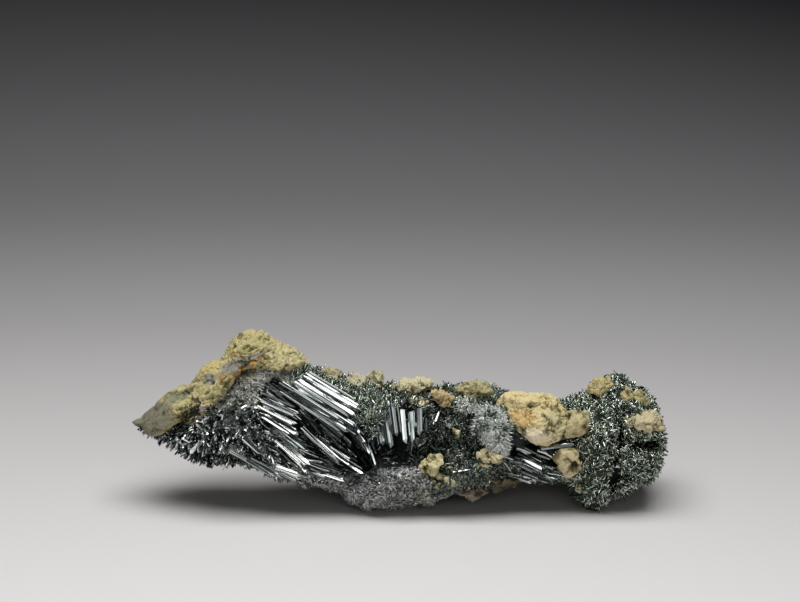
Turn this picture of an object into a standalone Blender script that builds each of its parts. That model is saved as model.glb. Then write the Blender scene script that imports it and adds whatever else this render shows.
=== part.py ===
"""Stibnite crystal spray on clay-altered matrix: a natural mineral specimen about 120 mm long.

Frame: metres, +Z up. The specimen rests on Z = 0. X runs along it, from the pointed rock tip at -X to the
needle-covered knob at +X, and -Y is the display side with the open pocket of long blades.
All sizes below are in millimetres and are turned to metres when a piece is finished.
"""

import math
import random

import bmesh
import bpy
from mathutils import Matrix, Vector, noise
from mathutils.bvhtree import BVHTree

MM = 0.001
GAP = 0.35  # clearance between a piece of matrix and what holds it
noise.seed_set(4)  # the wander of the outlines of the hollows is drawn from this seed

# ---------------------------------------------------------------- stibnite body

# Measured across the crust of needles: x, underside z, ridge z, front y, back y.
BODY_STATIONS = (
    (-57.6, 16.2, 17.6, -1.5, 1.5),
    (-53.5, 15.0, 19.7, -6.5, 6.0),
    (-47.0, 11.8, 22.4, -10.5, 9.5),
    (-40.0, 10.2, 28.2, -13.0, 12.5),
    (-32.0, 8.6, 34.0, -14.5, 15.0),
    (-25.0, 5.0, 33.2, -15.0, 17.5),
    (-20.0, 3.2, 30.0, -15.2, 18.5),
    (-15.0, 1.8, 28.6, -15.5, 19.5),
    (-8.0, -0.8, 26.8, -16.5, 20.5),
    (-1.0, -1.8, 25.8, -17.0, 21.0),
    (8.0, 0.4, 25.0, -17.0, 21.0),
    (16.0, 2.0, 24.6, -16.0, 20.5),
    (24.0, 3.8, 23.8, -15.0, 19.0),
    (32.0, 4.6, 22.2, -13.5, 17.0),
    (37.5, 4.0, 21.6, -13.0, 16.5),
    (43.5, -2.1, 25.4, -14.5, 16.5),
    (49.0, 0.8, 28.2, -14.5, 16.0),
    (53.5, 4.4, 26.0, -13.5, 14.5),
    (56.4, 5.6, 22.4, -12.0, 13.0),
    (58.8, 6.4, 20.0, -9.5, 10.5),
)
BODY_RINGS = 34
BODY_SIDES = 22
BODY_ROUNDNESS = 2.5  # superellipse exponent of a cross-section
CRUST_DEPTH = 1.0  # how far the needle tips stand above the solid crust
END_CLOSING = (3.0, 1.8)  # lengths over which the -X end and the +X end close

# Spacing and height of the swellings of the display side, of the back, and of the ridge and underside.
DISPLAY_SWELLINGS = ((8.0, 1.8), (3.8, 1.2))
BACK_SWELLINGS = ((17.0, 7.0), (8.0, 3.6), (3.8, 1.4))
RIM_SWELLINGS = ((7.0, 1.4), (3.6, 1.2))

# Hollows sunk in the display side: x, z, half length, half height, tilt in degrees, depth.
HOLLOWS = (
    (-18.0, 19.0, 18.0, 7.6, -34.0, 8.5),  # pocket of the long blades
    (7.0, 17.6, 14.0, 7.4, 2.0, 8.0),  # pocket of the upright blades
    (30.0, 13.4, 9.0, 3.0, -6.0, 5.0),  # cleft below the large lump
    (47.8, 13.0, 13.0, 2.0, 84.0, 3.6),  # upright crease of the knob
    (56.0, 16.4, 5.5, 2.0, -8.0, 4.5),  # level crease of the knob
)
HOLLOW_EDGE = 0.4  # share of a hollow's radius taken by its sloping side
HOLLOW_CORNERS = 3.0  # superellipse exponent of a hollow's outline
HOLLOW_RAGGEDNESS = 2.6  # how far the outline wanders

# Broken faces of the back: a point on the break and its outward direction.
BODY_BREAKS = (
    ((-30.0, 11.5, 14.0), (-0.25, 1.0, -0.55)),
    ((-8.0, 18.0, 8.0), (0.1, 1.0, -0.8)),
    ((14.0, 18.4, 20.0), (0.15, 1.0, 0.55)),
    ((36.0, 14.5, 10.0), (-0.2, 1.0, -0.3)),
    ((52.0, 12.5, 20.0), (0.7, 1.0, 0.4)),
)


def between(table, x):
    """The row of a station table at x, on a Catmull-Rom curve through its stations."""
    last = len(table) - 1
    i = max([k for k in range(last) if table[k][0] <= x], default=0)
    before, here, there, after = (table[min(max(k, 0), last)] for k in (i - 1, i, i + 1, i + 2))
    t = min(max((x - here[0]) / (there[0] - here[0]), 0.0), 1.0)
    row = []
    for a, b, c, d in zip(before[1:], here[1:], there[1:], after[1:]):
        row.append(b + 0.5 * t * (c - a + t * (2 * a - 5 * b + 4 * c - d + t * (3 * (b - c) + d - a))))
    return row


def smooth(t):
    t = min(max(t, 0.0), 1.0)
    return t * t * (3 - 2 * t)


def swellings(point, layers):
    return sum(height * noise.noise(point / spacing) for spacing, height in layers)


def swept_point(table, inset, share, turn, roundness):
    """A point of the form swept through a station table: share runs from its -X end to its +X end."""
    first, last = table[0][0], table[-1][0]
    x = first + share * (last - first)
    low, high, front, back = between(table, x)
    closing = math.sqrt(smooth(min((x - first) / END_CLOSING[0], (last - x) / END_CLOSING[1])))
    half_y = max((back - front) / 2 - inset, 0.3) * closing
    half_z = max((high - low) / 2 - inset, 0.3) * closing
    c, s = math.cos(turn), math.sin(turn)
    y = (front + back) / 2 + half_y * math.copysign(abs(c) ** (2 / roundness), c)
    z = (low + high) / 2 + half_z * math.copysign(abs(s) ** (2 / roundness), s)
    return Vector((x, y, z))


def ordered(bm):
    """The form in triangles, its points and faces listed by place, so that every run shapes it alike."""
    points = sorted(bm.verts, key=lambda vert: vert.co[:])
    rank = {vert: place for place, vert in enumerate(points)}
    rows = []
    for face in bm.faces:
        corners = [rank[vert] for vert in face.verts]
        first = corners.index(min(corners))
        rows.append(corners[first:] + corners[:first])
    made = bmesh.new()
    listed = [made.verts.new(vert.co) for vert in points]
    for row in sorted(rows):
        made.faces.new([listed[corner] for corner in row])
    bm.free()
    bmesh.ops.triangulate(made, faces=made.faces, quad_method="SHORT_EDGE")
    return made


def swept_form(table, rings, sides, inset, roundness):
    """A bmesh of the swept form, made from a sphere whose poles become its two ends."""
    bm = bmesh.new()
    bmesh.ops.create_uvsphere(bm, u_segments=sides, v_segments=rings, radius=1.0)
    for vert in bm.verts:
        share = math.acos(min(max(-vert.co.z, -1.0), 1.0)) / math.pi
        turn = math.atan2(vert.co.y, vert.co.x)
        vert.co = swept_point(table, inset, share, turn, roundness)
    return ordered(bm)


def hollow_depth(x, z):
    """How far the display side is sunk at x, z."""
    depth = 0.0
    wander = noise.noise_vector(Vector((x, 0, z)) / 4.5) * HOLLOW_RAGGEDNESS
    x, z = x + wander.x, z + wander.z
    for cx, cz, half_length, half_height, tilt, deepest in HOLLOWS:
        turn = math.radians(tilt)
        along = abs((x - cx) * math.cos(turn) + (z - cz) * math.sin(turn)) / half_length
        across = abs((z - cz) * math.cos(turn) - (x - cx) * math.sin(turn)) / half_height
        outwards = (along**HOLLOW_CORNERS + across**HOLLOW_CORNERS) ** (1 / HOLLOW_CORNERS)
        depth = max(depth, deepest * smooth((1 - outwards) / HOLLOW_EDGE))
    return depth


def pressed_flat(co, breaks):
    """The point moved back onto each break plane that it stands beyond."""
    for point, outward in breaks:
        outward = Vector(outward).normalized()
        beyond = (co - Vector(point)).dot(outward)
        if beyond > 0:
            co = co - outward * beyond * 0.9
    return co


def moved(bm, rule):
    """Moves every vertex to rule(vertex), all at once."""
    bm.normal_update()
    for vert, place in [(vert, rule(vert)) for vert in bm.verts]:
        vert.co = place
    return bm


def body_surface(vert):
    facing = smooth(-vert.normal.y * 1.6)
    side = abs(vert.normal.y)
    side_swell = swellings(vert.co, DISPLAY_SWELLINGS if vert.normal.y < 0 else BACK_SWELLINGS)
    swell = side * side_swell + (1 - side) * swellings(vert.co, RIM_SWELLINGS)
    sunk = Vector((0, hollow_depth(vert.co.x, vert.co.z) * facing, 0))
    return pressed_flat(vert.co + sunk + vert.normal * swell, BODY_BREAKS)


def body_form():
    return moved(swept_form(BODY_STATIONS, BODY_RINGS, BODY_SIDES, CRUST_DEPTH, BODY_ROUNDNESS), body_surface)


# ---------------------------------------------------------------- crystals

# Fans of blades. Each runs from a first blade to a last one, both given by root and tip, and holds that many
# blades of up to the stated width: five fans cross the display pocket, one stands upright between the ridge and
# the belly, and one lies in the cleft below the large lump.
BLADE_FANS = (
    (((-27, -10, 29.5), (-11, -15.5, 20.5)), ((-20, -9, 31), (-8.5, -13, 25)), 4, 1.3),
    (((-30.5, -11.5, 27), (-22, -14, 24)), ((-28, -12, 18), (-20, -16, 11)), 6, 1.1),
    (((-20.5, -12.5, 20), (-15, -15.5, 15.5)), ((-14.5, -13.5, 14.5), (-8, -16, 11)), 4, 0.9),
    (((-12, -13, 22), (-8.5, -14.5, 20)), ((-7.5, -12.5, 19), (-5, -15.5, 12.5)), 4, 0.9),
    (((-38, -12.5, 17), (-25.5, -15, 10)), ((-22, -13.5, 12), (-12, -16, 9.5)), 5, 1.4),
    (((-5, -9.5, 24.5), (-3.5, -14.5, 17)), ((4.5, -10, 23), (4.5, -13.5, 19)), 6, 1.5),
    (((25, -12, 14.5), (31.5, -14.5, 11.5)), ((27, -12.5, 10.5), (34, -14.5, 8.5)), 4, 1.3),
)
FAN_SEED = 11
BLADE_SLIDE = 1.2  # how far the blades inside a fan slide along their length
BLADE_WIDTHS = (0.6, 1.0)  # range of the widths, as shares of the fan's widest
BLADE_FLATNESS = 0.6  # thickness over width
BLADE_SIDES = 6
BLADE_POINT = 0.9  # length of a blade's point, in widths
ROOT_REACH = 3.4  # how far a blade's root runs on into the stibnite behind it
INWARD = Vector((0, 0.97, -0.25))  # the way into the mass from the display side

# Short needles over the crust: name, how many, length range, width, share of randomness in direction,
# the low and high corner of the region they root in, and the point they spread from (or None: the surface).
NEEDLE_FIELDS = (
    ("burr", 40, (3.2, 4.8), 1.7, 0.30, (-56, -16, 7), (-29, 6, 21), (-44.0, 2.0, 23.0)),
    ("ridge", 16, (2.2, 3.2), 1.8, 0.50, (-34, -13, 24), (40, 12, 34), None),
    ("felt", 8, (2.0, 2.8), 1.5, 0.60, (10, -19, 14), (24, -6, 28), None),
    ("belly", 8, (1.8, 2.6), 1.7, 0.55, (-26, -20, 1.5), (38, -4, 11), None),
    ("knob", 36, (2.4, 3.6), 1.9, 0.45, (38, -18, 1), (61, 18, 31), None),
    ("back", 22, (2.6, 4.0), 2.2, 0.45, (-52, 8, 2), (38, 24, 30), None),
)
NEEDLE_ROOT = 1.2  # how far a needle's base lies under the crust
NEEDLE_TRIES = 60
SHADED_DEPTH = 3.0  # no needle roots on a hollow's floor deeper than this


def laid_along(bm, root, tip):
    """Turns a crystal that stands on the origin to run from root to tip, broad faces to the display side."""
    along = (tip - root).normalized()
    across = along.cross(Vector((0, -1, 0.05))).normalized()
    turned = Matrix((across, along.cross(across), along)).transposed()
    bmesh.ops.transform(bm, matrix=Matrix.Translation(root) @ turned.to_4x4(), verts=bm.verts)


def blade(root, tip, width, thickness):
    """A flattened six-sided prism with a short point."""
    shaft_length = (tip - root).length - BLADE_POINT * width
    bm = bmesh.new()
    bmesh.ops.create_circle(bm, cap_ends=True, segments=BLADE_SIDES, radius=0.5)
    bmesh.ops.scale(bm, vec=(width, thickness, 1), verts=bm.verts)
    shaft = bmesh.ops.extrude_face_region(bm, geom=bm.faces[:])["geom"]
    end_verts = [item for item in shaft if isinstance(item, bmesh.types.BMVert)]
    end_faces = [item for item in shaft if isinstance(item, bmesh.types.BMFace)]
    bmesh.ops.translate(bm, vec=(0, 0, shaft_length), verts=end_verts)
    point = bmesh.ops.poke(bm, faces=end_faces)
    bmesh.ops.translate(bm, vec=(0, 0, BLADE_POINT * width), verts=point["verts"])
    bmesh.ops.recalc_face_normals(bm, faces=bm.faces)
    laid_along(bm, root, tip)
    return bm


def needle(root, tip, width):
    """A slender four-sided spike."""
    length = (tip - root).length
    bm = bmesh.new()
    bmesh.ops.create_cone(bm, cap_ends=True, segments=4, radius1=width / 2, radius2=0.0, depth=length)
    bmesh.ops.remove_doubles(bm, verts=bm.verts, dist=1e-5)
    bmesh.ops.translate(bm, vec=(0, 0, length / 2), verts=bm.verts)
    laid_along(bm, root, tip)
    return bm


def fan_blades(fan, draw):
    """Root, tip and width of each blade of a fan, from its first blade to its last."""
    (first_root, first_tip), (last_root, last_tip), count, widest = fan
    for place in range(count):
        share = place / (count - 1)
        root = Vector(first_root).lerp(Vector(last_root), share)
        tip = Vector(first_tip).lerp(Vector(last_tip), share)
        slide = draw.uniform(-BLADE_SLIDE, BLADE_SLIDE) * min(place, count - 1 - place, 1)
        shift = (tip - root).normalized() * slide
        yield root + shift, tip + shift, widest * draw.uniform(*BLADE_WIDTHS)


def blades():
    draw = random.Random(FAN_SEED)
    made = []
    for fan in BLADE_FANS:
        for root, tip, width in fan_blades(fan, draw):
            inward = ((root - tip).normalized() * 0.3 + INWARD).normalized()
            made.append(blade(root + inward * ROOT_REACH, tip, width, width * BLADE_FLATNESS))
    return made


def needles(surface):
    """The needles of every field, rooted on the body's surface at seeded places."""
    draw = random.Random(7)
    made = []
    for _, count, lengths, width, wildness, low, high, centre in NEEDLE_FIELDS:
        wanted = len(made) + count
        for _ in range(count * NEEDLE_TRIES):
            start = Vector([draw.uniform(a, b) for a, b in zip(low, high)])
            place, normal, _, _ = surface.find_nearest(start)
            lean = Vector([draw.uniform(-1, 1) for _ in range(3)])
            length = draw.uniform(*lengths)
            inside = all(a <= value <= b for a, value, b in zip(low, place, high))
            shaded = normal.y < 0 and hollow_depth(place.x, place.z) > SHADED_DEPTH
            if not inside or shaded or (place - start).length > 3.5:
                continue
            outward = (place - Vector(centre)).normalized() * 0.7 + normal * 0.6 if centre else normal
            along = (outward + lean * wildness).normalized()
            made.append(needle(place - along * NEEDLE_ROOT, place + along * (length - 0.6), width))
            if len(made) == wanted:
                break
    return made


# ---------------------------------------------------------------- matrix

# The large cap of clay-altered rock, from the pointed tip over the peak: x, underside, top, front y, back y.
PEAK_STATIONS = (
    (-60.2, 17.7, 18.7, -1.6, 0.4),
    (-57.6, 16.2, 20.0, -4.6, 3.0),
    (-55.0, 16.4, 21.6, -7.4, 5.0),
    (-52.0, 18.0, 23.6, -9.4, 7.0),
    (-49.0, 19.4, 25.2, -10.4, 8.5),
    (-46.0, 20.2, 26.2, -11.0, 9.5),
    (-43.0, 21.6, 30.8, -11.2, 10.5),
    (-40.0, 25.0, 31.8, -11.0, 10.8),
    (-37.0, 29.0, 35.4, -10.8, 11.0),
    (-34.4, 31.0, 37.8, -10.6, 11.0),
    (-31.4, 32.4, 37.6, -10.2, 11.0),
    (-28.0, 32.0, 35.8, -9.4, 10.6),
    (-24.5, 31.0, 35.2, -8.2, 10.0),
    (-21.6, 30.6, 34.4, -6.6, 8.6),
    (-20.4, 30.6, 33.6, -4.8, 6.0),
)
PEAK_RINGS = 22
PEAK_SIDES = 14
PEAK_ROUNDNESS = 2.4
PEAK_SWELLINGS = ((10.0, 2.6), (5.0, 1.4))
PEAK_BREAKS = (
    ((-38.0, 10.5, 32.0), (0.1, 1.0, 0.5)),
    ((-50.0, -9.5, 22.0), (-0.3, -1.0, 0.25)),
    ((-30.0, -9.4, 34.0), (0.2, -1.0, 0.6)),
    ((-24.0, 2.0, 36.4), (0.25, 0.1, 1.0)),
)

# Smaller pieces of matrix: name, centre, half sizes, turn about Y in degrees, icosphere subdivisions, seed.
LUMPS = (
    ("large_lump", (29.6, -6.2, 21.4), (9.4, 9.8, 5.8), 8, 3, 11),
    ("lump_lobe", (38.9, -10.8, 21.2), (3.5, 3.9, 3.7), 20, 2, 12),
    ("lump_wedge", (36.8, -12.4, 13.0), (3.9, 3.6, 3.5), 12, 2, 13),
    ("knob_crown", (45.0, -2.6, 27.2), (3.4, 4.4, 2.0), -22, 2, 14),
    ("knob_cap", (50.4, -6.8, 25.8), (1.6, 2.8, 2.2), 5, 2, 15),
    ("knob_cap_side", (53.5, -4.2, 24.6), (2.4, 4.0, 1.8), 30, 2, 16),
    ("knob_shelf", (53.8, -8.4, 21.2), (5.6, 6.0, 2.9), 12, 3, 17),
    ("ridge_lump_1", (-15.5, 1.0, 28.8), (2.7, 3.6, 1.8), 14, 2, 21),
    ("ridge_lump_2", (-9.8, 1.0, 27.0), (3.0, 3.8, 1.8), -8, 2, 22),
    ("ridge_lump_3", (-5.0, 2.0, 27.2), (2.2, 3.2, 2.0), 15, 2, 23),
    ("ridge_lump_4", (3.4, 2.6, 25.9), (4.5, 5.0, 2.0), -4, 2, 24),
    ("ridge_lump_5", (9.4, -4.0, 25.0), (3.0, 3.4, 1.9), 22, 2, 25),
    ("ridge_lump_6", (16.8, 2.4, 25.2), (4.2, 5.0, 2.0), 4, 2, 26),
    ("front_nugget", (6.8, -13.8, 12.2), (4.2, 2.4, 1.8), -34, 2, 31),
    ("front_shell", (20.2, -14.6, 14.6), (3.4, 2.4, 1.6), 8, 2, 32),
    ("front_shell_foot", (19.2, -13.8, 11.6), (2.0, 2.1, 1.7), -20, 2, 33),
    ("stained_lump", (22.4, -10.8, 8.0), (4.6, 4.2, 2.6), -10, 2, 34),
    ("belly_lump", (16.4, -8.6, 4.6), (3.6, 4.6, 2.1), 0, 2, 35),
    ("back_lump_1", (-20.0, 8.0, 19.0), (10.0, 5.0, 8.0), 24, 2, 41),
    ("back_lump_2", (27.0, 12.8, 14.0), (10.4, 5.0, 7.8), -12, 2, 42),
)
# Broken faces of the pieces that break along planes of their own: a point on the face, its outward direction.
LUMP_FACES = {
    "large_lump": (
        ((27.0, -13.8, 22.0), (-0.26, -0.90, 0.34)),
        ((34.5, -13.0, 22.0), (0.55, -0.80, 0.25)),
        ((29.0, -15.0, 18.6), (-0.05, -0.94, -0.34)),
        ((27.0, -6.0, 26.4), (0.10, -0.10, 1.0)),
        ((21.6, -9.0, 22.0), (-0.92, -0.30, 0.20)),
        ((37.2, -8.0, 23.0), (0.75, -0.10, 0.62)),
    ),
    "lump_lobe": (
        ((39.2, -13.8, 21.6), (0.10, -0.95, 0.30)),
        ((41.2, -12.0, 22.0), (0.80, -0.40, 0.45)),
        ((41.0, -12.6, 19.0), (0.60, -0.50, -0.65)),
        ((38.4, -11.0, 24.2), (-0.25, -0.20, 1.0)),
    ),
    "lump_wedge": (
        ((36.6, -15.2, 13.0), (0.05, -1.0, 0.15)),
        ((39.9, -12.0, 13.0), (1.0, -0.25, 0.05)),
        ((34.8, -13.6, 11.2), (-0.72, -0.40, -0.58)),
        ((35.8, -12.0, 15.7), (0.05, -0.10, 1.0)),
        ((34.0, -13.0, 14.4), (-0.85, -0.40, 0.35)),
    ),
    "knob_shelf": (
        ((54.0, -10.0, 23.0), (-0.04, -0.22, 1.0)),
        ((55.0, -13.4, 21.4), (0.15, -0.85, 0.52)),
        ((54.0, -12.0, 19.6), (0.20, -0.45, -0.90)),
        ((49.8, -11.0, 21.0), (-0.85, -0.50, 0.10)),
        ((58.4, -9.0, 21.5), (0.95, -0.20, 0.10)),
    ),
}
CUT_BY_NEIGHBOUR = {"lump_lobe": "large_lump", "lump_wedge": "large_lump"}
LUMP_DENTS = 0.35  # depth of a lump's dents and knobs, as a share of its size
LUMP_BREAKS = 14
LUMP_BREAK_REACH = (0.62, 0.88)  # how far out the break planes lie, as a share of a lump's half size


def peak_surface(vert):
    return pressed_flat(vert.co + vert.normal * swellings(vert.co, PEAK_SWELLINGS), PEAK_BREAKS)


def rock_peak():
    peak = moved(swept_form(PEAK_STATIONS, PEAK_RINGS, PEAK_SIDES, 0.0, PEAK_ROUNDNESS), peak_surface)
    bmesh.ops.triangulate(peak, faces=peak.faces)
    return peak


def rock_lump(name, centre, half_sizes, tilt, subdivisions, seed):
    """An irregular broken lump: an icosphere with dents, flattened by break planes and by its own faces."""
    draw = random.Random(seed)
    breaks = []
    for _ in range(LUMP_BREAKS):
        outward = Vector([draw.uniform(-1, 1) for _ in range(3)]).normalized()
        breaks.append((outward * draw.uniform(*LUMP_BREAK_REACH), outward))
    shift = Vector((seed, 0, 0))
    skew = Matrix.Rotation(draw.uniform(-0.5, 0.5), 4, "Z")
    bm = bmesh.new()
    bmesh.ops.create_icosphere(bm, subdivisions=subdivisions, radius=1.0)
    bm = ordered(bm)
    moved(bm, lambda vert: pressed_flat(vert.co * (1 + LUMP_DENTS * noise.noise(vert.co * 1.7 + shift)), breaks))
    place = Matrix.Translation(centre) @ Matrix.Rotation(math.radians(tilt), 4, "Y") @ skew
    bmesh.ops.scale(bm, vec=half_sizes, verts=bm.verts)
    bmesh.ops.transform(bm, matrix=place, verts=bm.verts)
    return moved(bm, lambda vert: pressed_flat(vert.co, LUMP_FACES.get(name, ())))


def seat(rock):
    """A copy of a piece of matrix, swollen by the gap: the room that it takes up in what holds it."""
    return moved(rock.copy(), lambda vert: vert.co + vert.normal * GAP)


# ---------------------------------------------------------------- assembly


def helper_object(bm):
    """An object that a Boolean reads: it is no part of the specimen itself."""
    mesh = bpy.data.meshes.new("helper")
    bm.to_mesh(mesh)
    bm.free()
    made = bpy.data.objects.new("helper", mesh)
    made.hide_render = True
    made.display_type = "WIRE"
    return made


def keep_largest_island(bm):
    """Deletes every loose fragment but the largest body."""
    todo, islands = set(bm.verts), []
    while todo:
        reached, island = [todo.pop()], set()
        while reached:
            vert = reached.pop()
            island.add(vert)
            near = {edge.other_vert(vert) for edge in vert.link_edges} & todo
            todo -= near
            reached.extend(near)
        islands.append(island)
    islands.sort(key=len)
    loose = [vert for island in islands[:-1] for vert in island]
    bmesh.ops.delete(bm, geom=loose, context="VERTS")


def combined(target, operation, operands):
    """The bmesh of target after one Boolean with all the operands, without loose fragments."""
    group = bpy.data.collections.new(operation)
    work = helper_object(target)
    bpy.context.scene.collection.objects.link(work)
    tools = [helper_object(operand) for operand in operands]
    for tool in tools:
        group.objects.link(tool)
    modifier = work.modifiers.new(operation, "BOOLEAN")
    modifier.operation = operation
    modifier.operand_type = "COLLECTION"
    modifier.collection = group
    result = bmesh.new()
    result.from_mesh(work.evaluated_get(bpy.context.evaluated_depsgraph_get()).to_mesh())
    for helper in (work, *tools):
        bpy.data.objects.remove(helper)
    bpy.data.collections.remove(group)
    keep_largest_island(result)
    return result


def below_the_rest():
    bm = bmesh.new()
    bmesh.ops.create_cube(bm, size=200.0, matrix=Matrix.Translation((0, 0, -100.0)))
    return bm


def finish_material(name, colour, roughness, metallic):
    material = bpy.data.materials.new(name)
    material.use_nodes = True
    shader = material.node_tree.nodes["Principled BSDF"]
    shader.inputs["Base Color"].default_value = (*colour, 1.0)
    shader.inputs["Roughness"].default_value = roughness
    shader.inputs["Metallic"].default_value = metallic
    return material


def piece(name, bm, material):
    """The finished node, turned from millimetres to metres."""
    bmesh.ops.scale(bm, vec=(MM, MM, MM), verts=bm.verts)
    mesh = bpy.data.meshes.new(name)
    bm.to_mesh(mesh)
    bm.free()
    mesh.materials.append(material)
    bpy.context.scene.collection.objects.link(bpy.data.objects.new(name, mesh))


def main():
    for old in list(bpy.data.objects):
        bpy.data.objects.remove(old, do_unlink=True)
    stibnite = finish_material("stibnite", (0.20, 0.21, 0.22), 0.28, 0.9)
    clay = finish_material("clay_matrix", (0.62, 0.52, 0.28), 0.9, 0.0)

    rocks = {"matrix_peak": rock_peak()}
    for name, *shape in LUMPS:
        rocks[name] = rock_lump(name, *shape)
    for name, neighbour in CUT_BY_NEIGHBOUR.items():
        rocks[name] = combined(rocks[name], "DIFFERENCE", [seat(rocks[neighbour])])

    body = body_form()
    crystals = blades() + needles(BVHTree.FromBMesh(body))
    mass = combined(body, "UNION", crystals)
    mass = combined(mass, "DIFFERENCE", [below_the_rest()] + [seat(rock) for rock in rocks.values()])

    piece("stibnite_mass", mass, stibnite)
    for name, rock in rocks.items():
        piece(name, rock, clay)


main()
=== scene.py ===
"""Looks of a stibnite crystal specimen on clay-altered rock, built around its plain solids."""

import math
import random

import bmesh
import bpy
import numpy as np
from mathutils import Matrix, Vector, noise
from mathutils.bvhtree import BVHTree


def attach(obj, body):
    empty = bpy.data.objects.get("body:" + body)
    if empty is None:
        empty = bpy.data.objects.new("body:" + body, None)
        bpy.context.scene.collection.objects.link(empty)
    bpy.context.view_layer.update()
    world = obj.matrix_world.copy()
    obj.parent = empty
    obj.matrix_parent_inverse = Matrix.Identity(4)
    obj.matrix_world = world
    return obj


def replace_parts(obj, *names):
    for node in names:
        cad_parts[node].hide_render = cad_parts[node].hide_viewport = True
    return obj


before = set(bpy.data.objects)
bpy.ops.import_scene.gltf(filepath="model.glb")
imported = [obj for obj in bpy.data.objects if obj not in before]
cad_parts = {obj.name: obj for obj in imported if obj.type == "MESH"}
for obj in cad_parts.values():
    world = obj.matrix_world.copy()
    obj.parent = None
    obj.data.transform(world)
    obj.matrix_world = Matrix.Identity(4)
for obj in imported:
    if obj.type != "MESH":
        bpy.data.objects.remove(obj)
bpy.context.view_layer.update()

# ======================== table, backdrop, light and camera
# A pale paper sweep runs from the table up behind the specimen. Its colour is painted darker with distance
# and to the sides, a painted light falloff as of one overhead softbox. Nothing here belongs to the object.


def linear(code):
    """The linear RGBA of an sRGB hex colour."""
    parts = [int(code[i : i + 2], 16) / 255 for i in (1, 3, 5)]
    return tuple([c / 12.92 if c <= 0.04045 else ((c + 0.055) / 1.055) ** 2.4 for c in parts] + [1.0])


def feed(tree, node, feeds):
    """Gives each named input of a node its value or its link."""
    for name, value in feeds.items():
        if isinstance(value, bpy.types.NodeSocket):
            tree.links.new(value, node.inputs[name])
        else:
            node.inputs[name].default_value = value


def add_node(tree, kind, feeds=None, stops=(), out=0, **settings):
    """Adds a shader node and returns one of its outputs."""
    added = tree.nodes.new("ShaderNode" + kind)
    for key, value in settings.items():
        setattr(added, key, value)
    feed(tree, added, feeds or {})
    for i, (place, colour) in enumerate(stops):
        elements = added.color_ramp.elements
        stop = elements[i] if i < len(elements) else elements.new(place)
        stop.position = place
        stop.color = linear(colour)
    return added.outputs[out]


def new_material(name):
    """A material, its tree, its shader and its Object coordinates, which are metres from the origin."""
    made = bpy.data.materials.new(name)
    made.use_nodes = True
    tree = made.node_tree
    return made, tree, tree.nodes["Principled BSDF"], add_node(tree, "TexCoord", out="Object")


def as_mesh(name, bm):
    """The mesh of a bmesh, which is then freed."""
    mesh = bpy.data.meshes.new(name)
    bm.to_mesh(mesh)
    bm.free()
    return mesh


def verts_of(geom):
    return [item for item in geom if isinstance(item, bmesh.types.BMVert)]


def linked(name, mesh, material):
    """An object of one mesh and one material, in the scene."""
    mesh.materials.append(material)
    made = bpy.data.objects.new(name, mesh)
    bpy.context.scene.collection.objects.link(made)
    return made


SWEEP_NEAR = -0.9  # metres from the specimen, towards the camera
SWEEP_BACK = 0.30  # where the paper starts to rise
SWEEP_RADIUS = 0.60
SWEEP_STEPS = 24
SWEEP_HEIGHT = 1.3
SWEEP_HALF_WIDTH = 1.8
SWEEP_LIT_X = -0.17  # the brightest line of the paper
SWEEP_SIDE_FALL = 0.55  # how fast it darkens to the sides
# Painted light falloff: tone of the paper by height above the table plus distance behind the specimen, in
# metres.
SWEEP_RANGE = (-0.15, 1.1)
SWEEP_TONES = ((0.0, "#f0eeec"), (0.25, "#b4b2b2"), (0.45, "#8c8b8d"), (0.65, "#2c2d30"))

bm = bmesh.new()
edge = [bm.verts.new((x, SWEEP_NEAR, 0.0)) for x in (-SWEEP_HALF_WIDTH, SWEEP_HALF_WIDTH)]
strip = bmesh.ops.extrude_edge_only(bm, edges=[bm.edges.new(edge)])["geom"]
bmesh.ops.translate(bm, vec=(0, SWEEP_BACK - SWEEP_NEAR, 0), verts=verts_of(strip))
far = [e for e in bm.edges if all(v.co.y > 0 for v in e.verts)]
bmesh.ops.spin(
    bm, geom=far, cent=(0, SWEEP_BACK, SWEEP_RADIUS), axis=(1, 0, 0), angle=math.pi / 2, steps=SWEEP_STEPS,
)
rim = [e for e in bm.edges if all(v.co.y > SWEEP_BACK + SWEEP_RADIUS - 1e-4 for v in e.verts)]
rise = bmesh.ops.extrude_edge_only(bm, edges=rim)["geom"]
bmesh.ops.translate(bm, vec=(0, 0, SWEEP_HEIGHT), verts=verts_of(rise))
bmesh.ops.recalc_face_normals(bm, faces=bm.faces)
mesh = as_mesh("paper_sweep", bm)
mesh.shade_smooth()

# Matt paper scatters light evenly and hardly shines. Its colour carries the painted light falloff.
paper, tree, shader, place = new_material("matt background paper with painted light falloff")
axes = add_node(tree, "SeparateXYZ", {0: place}).node.outputs
aside = add_node(tree, "Math", {0: axes["X"], 1: SWEEP_LIT_X}, operation="SUBTRACT")
squared = add_node(tree, "Math", {0: aside, 1: aside}, operation="MULTIPLY")
behind = add_node(tree, "Math", {0: axes["Y"], 1: axes["Z"]}, operation="ADD")
along = add_node(tree, "Math", {0: squared, 1: SWEEP_SIDE_FALL, 2: behind}, operation="MULTIPLY_ADD")
share = add_node(
    tree, "MapRange", {"Value": along, "From Min": SWEEP_RANGE[0], "From Max": SWEEP_RANGE[1]},
)
tone = add_node(tree, "ValToRGB", {"Fac": share}, SWEEP_TONES)
feed(tree, shader, {"Base Color": tone, "Roughness": 0.9, "Specular IOR Level": 0.1})
linked("paper_sweep", mesh, paper)

CAMERA_AIM = Vector((0.0002, -0.004, 0.0470))
CAMERA_DISTANCE = 0.55
CAMERA_ELEVATION = math.radians(14.0)
CAMERA_LENS = 112.5

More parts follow.
